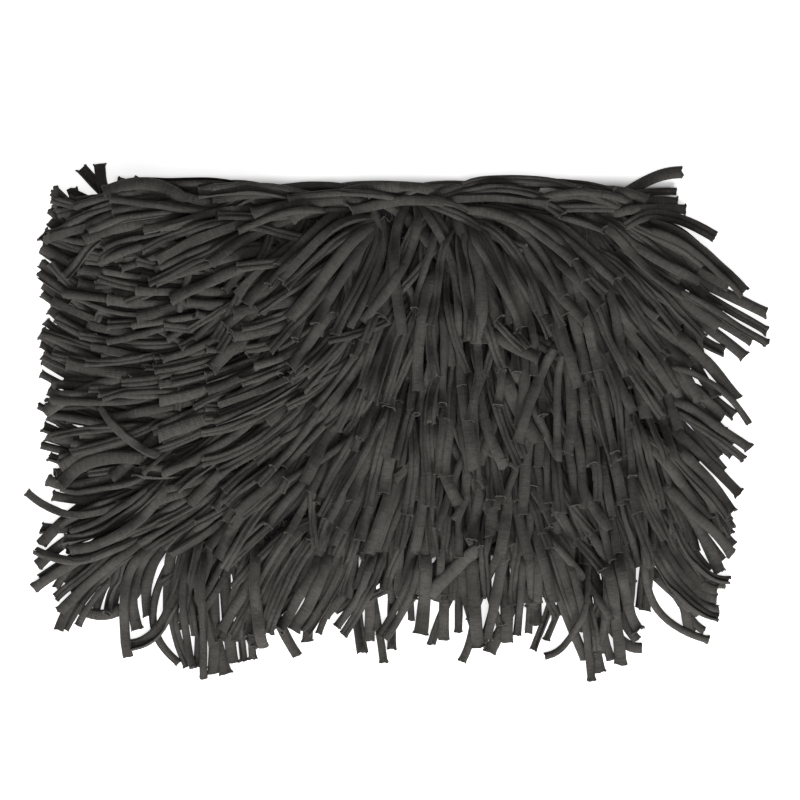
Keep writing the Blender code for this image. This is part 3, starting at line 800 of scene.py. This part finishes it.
# Copies lie a little apart, until each is put in its own place
def copyGrid(piece, name, count):
    copies = piece.modifiers.new(name, "ARRAY")
    copies.count = count
    copies.use_relative_offset = False
    copies.use_constant_offset = True
    copies.constant_offset_displace = (0, 0, 10 * mm)
    bpy.ops.object.modifier_apply(modifier=copies.name)


laidRows = layPile()
stripRows = [sewRow(row, laid) for row, laid in sorted(laidRows.items())]
print(sum(len(laid) for laid in laidRows.values()), "strips laid")


# Thread that tacks each tuft to the backing, over its root and back under the net
tacks = {
    "reach": 6.5,  # half its length
    "zigzags": 3,
    "swing": 1.9,  # half its width
    "over": 6.6,  # height above the floor
    "under": 0.3,
    "steep": 3.5,  # how fast it goes through the net
    "turn": 14,
    "radius": 0.26,
    "sides": 4,
    "steps": 28,
    "colour": (0.06, 0.058, 0.055, 1),
}


# Middle line of one tack's thread, a closed loop about its tuft
def tackLine():
    run = np.linspace(0, 1, tacks["steps"] + 1)
    u = tacks["reach"] * np.cos(2 * np.pi * run)
    over = np.clip(np.sin(2 * np.pi * run) * tacks["steep"] + 0.5, 0, 1)
    z = tacks["under"] + (tacks["over"] - tacks["under"]) * over
    v = tacks["swing"] * np.sin(2 * np.pi * run * 2 * tacks["zigzags"])
    return np.column_stack((u, v, z))


def sewTacks():
    bpy.ops.object.select_all(action="DESELECT")
    bpy.ops.mesh.primitive_grid_add(
        x_subdivisions=tacks["sides"], y_subdivisions=tacks["steps"], size=1
    )
    piece = bpy.context.object
    piece.name = "tack_thread"
    flat = np.array([vert.co for vert in piece.data.vertices])
    around = np.round((flat[:, 0] + 0.5) * tacks["sides"]) / tacks["sides"] * 2 * np.pi
    step = np.round((flat[:, 1] + 0.5) * tacks["steps"]).astype(int)
    line = tackLine()
    ahead = np.gradient(line, axis=0)
    ahead[0] = ahead[-1] = ahead[0] + ahead[-1]
    out = np.cross(ahead, (0, 1, 0))
    out /= np.linalg.norm(out, axis=1)[:, None]
    other = np.cross(ahead, out)
    other /= np.linalg.norm(other, axis=1)[:, None]
    tube = line[step] + tacks["radius"] * (
        np.cos(around)[:, None] * out[step] + np.sin(around)[:, None] * other[step]
    )
    copyGrid(piece, "one for each tuft", len(tuftPlaces))
    places = []
    for _, place in tuftPlaces:
        heading = rng.normal(0, tacks["turn"])
        flatPart = tube[:, :1] * along(heading) + tube[:, 1:2] * along(heading + 90) + place
        places.append(np.column_stack((flatPart, tube[:, 2])))
    piece.data.vertices.foreach_set("co", (np.concatenate(places) * mm).astype(np.float32).ravel())
    piece.data.update()
    bpy.ops.object.mode_set(mode="EDIT")
    bpy.ops.mesh.select_all(action="SELECT")
    bpy.ops.mesh.remove_doubles(threshold=0.02 * mm)
    bpy.ops.mesh.normals_make_consistent(inside=False)
    bpy.ops.object.mode_set(mode="OBJECT")
    bpy.ops.object.shade_smooth()
    return piece


tackThread = sewTacks()
print("tacks sewn")


# Shader helpers


def newGroup(name, sockets):
    group = bpy.data.node_groups.new(name, "ShaderNodeTree")
    for label, way, kind in sockets:
        group.interface.new_socket(label, in_out=way, socket_type=kind)
    nodes = group.nodes
    return group, nodes, group.links, nodes.new("NodeGroupInput"), nodes.new("NodeGroupOutput")


def newMaterial(name):
    material = bpy.data.materials.new(name)
    material.use_nodes = True
    nodes = material.node_tree.nodes
    return material, nodes, material.node_tree.links, nodes["Principled BSDF"]


def mathNode(nodes, links, operation, first, second):
    node = nodes.new("ShaderNodeMath")
    node.operation = operation
    for socket, value in zip(node.inputs, (first, second)):
        if isinstance(value, (int, float)):
            socket.default_value = value
        else:
            links.new(value, socket)
    return node.outputs[0]


# Adds some of a value to what a mask or a height has so far
def addSome(nodes, links, total, value, howMuch):
    some = mathNode(nodes, links, "MULTIPLY", value, howMuch)
    return mathNode(nodes, links, "ADD", total, some)


# Loops of single jersey. The vector is in millimetres of cloth: across the strip, then along.
# Strips are cut along the courses, so the wales repeat along them.
knit = {
    "loops": {
        # name: direction, pitch in mm
        "wale": ("Y", 0.85),
        "course": ("X", 0.62),
    },
    "loopShade": 0.2,
    "loopHeight": 0.12,
    "patches": {
        # name: noise scale per mm over x, y and z, detail, share in the shade, share in the height
        "mottle": ((0.6, 0.6, 1.0), 4.0, 1.3, 0.6),
        "courses": ((0.22, 1.0, 1.0), 3.0, 1.0, 0.5),
        "crease": ((0.3, 0.07, 1.0), 2.0, 0.25, 1.3),
    },
}


def knitGroup():
    group, nodes, links, given, put = newGroup("jerseyKnit", (
        ("Vector", "INPUT", "NodeSocketVector"),
        ("Shade", "OUTPUT", "NodeSocketFloat"),
        ("Normal", "OUTPUT", "NodeSocketVector"),
    ))
    vector = given.outputs["Vector"]
    shade, height = 1.0, 0.0
    for direction, pitch in knit["loops"].values():
        wave = nodes.new("ShaderNodeTexWave")
        wave.bands_direction = direction
        wave.inputs["Scale"].default_value = 2 * math.pi / 20 / pitch
        wave.inputs["Distortion"].default_value = 1.6
        wave.inputs["Detail"].default_value = 1.0
        wave.inputs["Detail Scale"].default_value = 1.2
        links.new(vector, wave.inputs["Vector"])
        loops = mathNode(nodes, links, "SUBTRACT", wave.outputs["Fac"], 0.5)
        shade = addSome(nodes, links, shade, loops, knit["loopShade"])
        height = addSome(nodes, links, height, loops, knit["loopHeight"])
    for scale, detail, inShade, inHeight in knit["patches"].values():
        stretch = nodes.new("ShaderNodeMapping")
        stretch.inputs["Scale"].default_value = scale
        links.new(vector, stretch.inputs["Vector"])
        noise = nodes.new("ShaderNodeTexNoise")
        noise.inputs["Scale"].default_value = 1.0
        noise.inputs["Detail"].default_value = detail
        noise.inputs["Roughness"].default_value = 0.65
        links.new(stretch.outputs["Vector"], noise.inputs["Vector"])
        patch = mathNode(nodes, links, "SUBTRACT", noise.outputs["Fac"], 0.5)
        shade = addSome(nodes, links, shade, patch, inShade)
        height = addSome(nodes, links, height, patch, inHeight)
    links.new(shade, put.inputs["Shade"])
    bump = nodes.new("ShaderNodeBump")
    bump.inputs["Strength"].default_value = 0.7
    bump.inputs["Distance"].default_value = 1 * mm
    links.new(height, bump.inputs["Height"])
    links.new(bump.outputs["Normal"], put.inputs["Normal"])
    return group


jerseyLook = {
    "dark": (0.037, 0.0346, 0.0311, 1),
    "light": (0.055, 0.0514, 0.0463, 1),
    "cutEdge": (0.048, 0.0455, 0.041, 1),
    "cutFrom": 0.993,  # of the length, past which the cut edge shows
    "groove": 0.075,  # share of the width by each long edge, where it rolls in, that is darkened with painted shade
    # share of its colour that the cloth keeps at its very edge under the painted shade
    "grooveShade": 0.35,
    "apart": 400.0,  # so that no two strips show the same stretch of knit
}


def jerseyMaterial():
    material, nodes, links, shader = newMaterial("charcoalJersey")
    shader.inputs["Roughness"].default_value = 0.95
    shader.inputs["Specular IOR Level"].default_value = 0.25
    shader.inputs["Sheen Weight"].default_value = 0.06
    shader.inputs["Sheen Roughness"].default_value = 0.45
    tone = nodes.new("ShaderNodeAttribute")
    tone.attribute_name = "tone"
    uv = nodes.new("ShaderNodeUVMap")
    uv.uv_map = "UVMap"
    size = nodes.new("ShaderNodeMapping")
    size.inputs["Scale"].default_value = (strip["cloth"], strip["length"], 1)
    links.new(uv.outputs["UV"], size.inputs["Vector"])
    apart = nodes.new("ShaderNodeCombineXYZ")
    depth = mathNode(nodes, links, "MULTIPLY", tone.outputs["Fac"], jerseyLook["apart"])
    links.new(depth, apart.inputs["Z"])
    links.new(apart.outputs["Vector"], size.inputs["Location"])
    cloth = nodes.new("ShaderNodeGroup")
    cloth.node_tree = knitGroup()
    links.new(size.outputs["Vector"], cloth.inputs["Vector"])
    base = nodes.new("ShaderNodeMix")
    base.data_type = "RGBA"
    base.inputs["A"].default_value = jerseyLook["dark"]
    base.inputs["B"].default_value = jerseyLook["light"]
    links.new(tone.outputs["Fac"], base.inputs["Factor"])
    place = nodes.new("ShaderNodeSeparateXYZ")
    links.new(uv.outputs["UV"], place.inputs["Vector"])
    # painted shade that darkens the cloth towards both long edges, where they roll in
    groove = nodes.new("ShaderNodeMapRange")
    groove.inputs["From Max"].default_value = jerseyLook["groove"]
    groove.inputs["To Min"].default_value = jerseyLook["grooveShade"]
    fromEdge = mathNode(nodes, links, "PINGPONG", place.outputs["X"], 0.5)
    links.new(fromEdge, groove.inputs["Value"])
    shade = mathNode(nodes, links, "MULTIPLY", cloth.outputs["Shade"], groove.outputs["Result"])
    shaded = nodes.new("ShaderNodeVectorMath")
    shaded.operation = "SCALE"
    links.new(base.outputs["Result"], shaded.inputs["Vector"])
    links.new(shade, shaded.inputs["Scale"])
    cut = nodes.new("ShaderNodeMix")
    cut.data_type = "RGBA"
    cut.inputs["B"].default_value = jerseyLook["cutEdge"]
    atCut = mathNode(nodes, links, "GREATER_THAN", place.outputs["Y"], jerseyLook["cutFrom"])
    links.new(atCut, cut.inputs["Factor"])
    links.new(shaded.outputs["Vector"], cut.inputs["A"])
    links.new(cut.outputs["Result"], shader.inputs["Base Color"])
    links.new(cloth.outputs["Normal"], shader.inputs["Normal"])
    return material


jersey = jerseyMaterial()
for piece in stripRows:
    piece.data.materials.append(jersey)
    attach(piece, "root")
    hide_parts("pile")
print("jersey done")

# Anti-slip net under the strips

net = {
    "cells": (92, 61),
    "corner": 14.0,
    "web": 1.38,  # half the width between two holes
    "thickness": 2.1,
    "middle": 1.4,
    "bead": 1.2,  # how much thicker where the webs cross
    "colour": (0.018, 0.018, 0.019, 1),
}


def makeNet():
    bpy.ops.object.select_all(action="DESELECT")
    bpy.ops.mesh.primitive_grid_add(
        x_subdivisions=net["cells"][0], y_subdivisions=net["cells"][1], size=1
    )
    piece = bpy.context.object
    piece.name = "anti_slip_net"
    flat = np.array([vert.co for vert in piece.data.vertices]) * (*sheetSize, 0) * mm
    piece.data.vertices.foreach_set("co", flat.astype(np.float32).ravel())
    bpy.ops.object.mode_set(mode="EDIT")
    bpy.ops.mesh.select_mode(type="FACE")
    bpy.ops.mesh.select_all(action="DESELECT")
    bpy.ops.object.mode_set(mode="OBJECT")
    # faces past the rounded corners
    half, corner = np.array(sheetSize) / 2 * mm, net["corner"] * mm
    for face in piece.data.polygons:
        out = np.maximum(np.abs(np.array(face.center[:2])) - half + corner, 0)
        face.select = bool(np.hypot(*out) > corner)
    bpy.ops.object.mode_set(mode="EDIT")
    bpy.ops.mesh.delete(type="FACE")
    bpy.ops.mesh.select_all(action="SELECT")
    bpy.ops.mesh.inset(thickness=net["web"] * mm, use_individual=True, use_boundary=True)
    bpy.ops.mesh.delete(type="FACE")
    bpy.ops.object.mode_set(mode="OBJECT")
    foam = piece.modifiers.new("foam", "SOLIDIFY")
    foam.thickness = net["thickness"] * mm
    foam.offset = 0
    bpy.ops.object.modifier_apply(modifier=foam.name)
    # beads where the webs cross, on both faces
    co = np.empty(len(piece.data.vertices) * 3, dtype=np.float32)
    piece.data.vertices.foreach_get("co", co)
    co = co.reshape(-1, 3)
    steps = (co[:, :2] / mm + np.array(sheetSize) / 2) * net["cells"] / sheetSize
    crossing = np.abs(steps - np.round(steps)).max(axis=1) < 0.05
    co[:, 2] = co[:, 2] * np.where(crossing, net["bead"], 1.0) + net["middle"] * mm
    piece.data.vertices.foreach_set("co", co.ravel())
    piece.data.update()
    bpy.ops.object.shade_smooth_by_angle(angle=math.radians(60))
    return piece


def netMaterial():
    material, nodes, links, shader = newMaterial("antiSlipFoam")
    shader.inputs["Base Color"].default_value = net["colour"]
    shader.inputs["Roughness"].default_value = 0.8
    shader.inputs["Specular IOR Level"].default_value = 0.2
    coordinates = nodes.new("ShaderNodeTexCoord")
    grain = nodes.new("ShaderNodeTexNoise")
    grain.inputs["Scale"].default_value = 2500.0
    grain.inputs["Detail"].default_value = 2.0
    links.new(coordinates.outputs["Object"], grain.inputs["Vector"])
    bump = nodes.new("ShaderNodeBump")
    bump.inputs["Strength"].default_value = 0.5
    bump.inputs["Distance"].default_value = 0.2 * mm
    links.new(grain.outputs["Fac"], bump.inputs["Height"])
    links.new(bump.outputs["Normal"], shader.inputs["Normal"])
    return material


def threadMaterial():
    material, _, _, shader = newMaterial("tackThread")
    shader.inputs["Base Color"].default_value = tacks["colour"]
    shader.inputs["Roughness"].default_value = 0.7
    return material


tackThread.data.materials.append(threadMaterial())
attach(tackThread, "root")
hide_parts("backing_sheet")

backing = makeNet()
backing.data.materials.append(netMaterial())
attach(backing, "root")
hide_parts("backing_sheet")
print("net done")

# Room

room = {
    "floor": (0.93, 0.93, 0.925, 1),
    "paintedGlow": 0.72,  # emission of the floor around the mat, painted light that fills in the mat's cast shadow on the floor
    "mat": (170 * mm, 116 * mm),  # half its size, where nothing glows
    "edge": (0.97, 1.04),  # of that size, between which the painted light comes up
    "ambient": 0.185,
    "left": {"place": (-0.7, -1.32, 0.9), "size": 0.6, "power": 25.0},
    "right": {"place": (0.7, -1.32, 0.9), "size": 0.6, "power": 25.0},
    "top": {"place": (0.2, -0.4, 1.65), "size": 0.9, "power": 7.0},
}


def addFloor():
    bpy.ops.mesh.primitive_plane_add(size=12, location=(0, 0, 0))
    floor = bpy.context.object
    floor.name = "floor"
    material, nodes, links, shader = newMaterial("paleFloor")
    shader.inputs["Base Color"].default_value = room["floor"]
    shader.inputs["Roughness"].default_value = 0.85
    # painted light: the floor glows around the mat to fill in its cast shadow, and not under it
    shader.inputs["Emission Color"].default_value = (1, 1, 1, 1)
    place = nodes.new("ShaderNodeSeparateXYZ")
    links.new(nodes.new("ShaderNodeTexCoord").outputs["Object"], place.inputs["Vector"])
    sides = []
    for axis, half in zip("XY", room["mat"]):
        away = mathNode(nodes, links, "ABSOLUTE", place.outputs[axis], 0)
        sides.append(mathNode(nodes, links, "DIVIDE", away, half))
    outside = nodes.new("ShaderNodeMapRange")
    links.new(mathNode(nodes, links, "MAXIMUM", *sides), outside.inputs["Value"])
    outside.inputs["From Min"].default_value = room["edge"][0]
    outside.inputs["From Max"].default_value = room["edge"][1]
    outside.inputs["To Max"].default_value = room["paintedGlow"]
    links.new(outside.outputs["Result"], shader.inputs["Emission Strength"])
    floor.data.materials.append(material)


def addLight(name):
    place = room[name]["place"]
    bpy.ops.object.light_add(type="AREA", location=place)
    light = bpy.context.object
    light.name = name
    light.data.size = room[name]["size"]
    light.data.energy = room[name]["power"]
    away = np.array(place) / np.linalg.norm(place)  # it faces the mat's middle
    light.rotation_euler = (math.acos(away[2]), 0, math.atan2(away[1], away[0]) + math.pi / 2)


addFloor()
for name in ("left", "right", "top"):
    addLight(name)
world = bpy.context.scene.world or bpy.data.worlds.new("studio")
bpy.context.scene.world = world
world.use_nodes = True
world.node_tree.nodes["Background"].inputs["Color"].default_value = (1, 1, 1, 1)
world.node_tree.nodes["Background"].inputs["Strength"].default_value = room["ambient"]
bpy.context.scene.view_settings.view_transform = "Standard"
print("room lit")
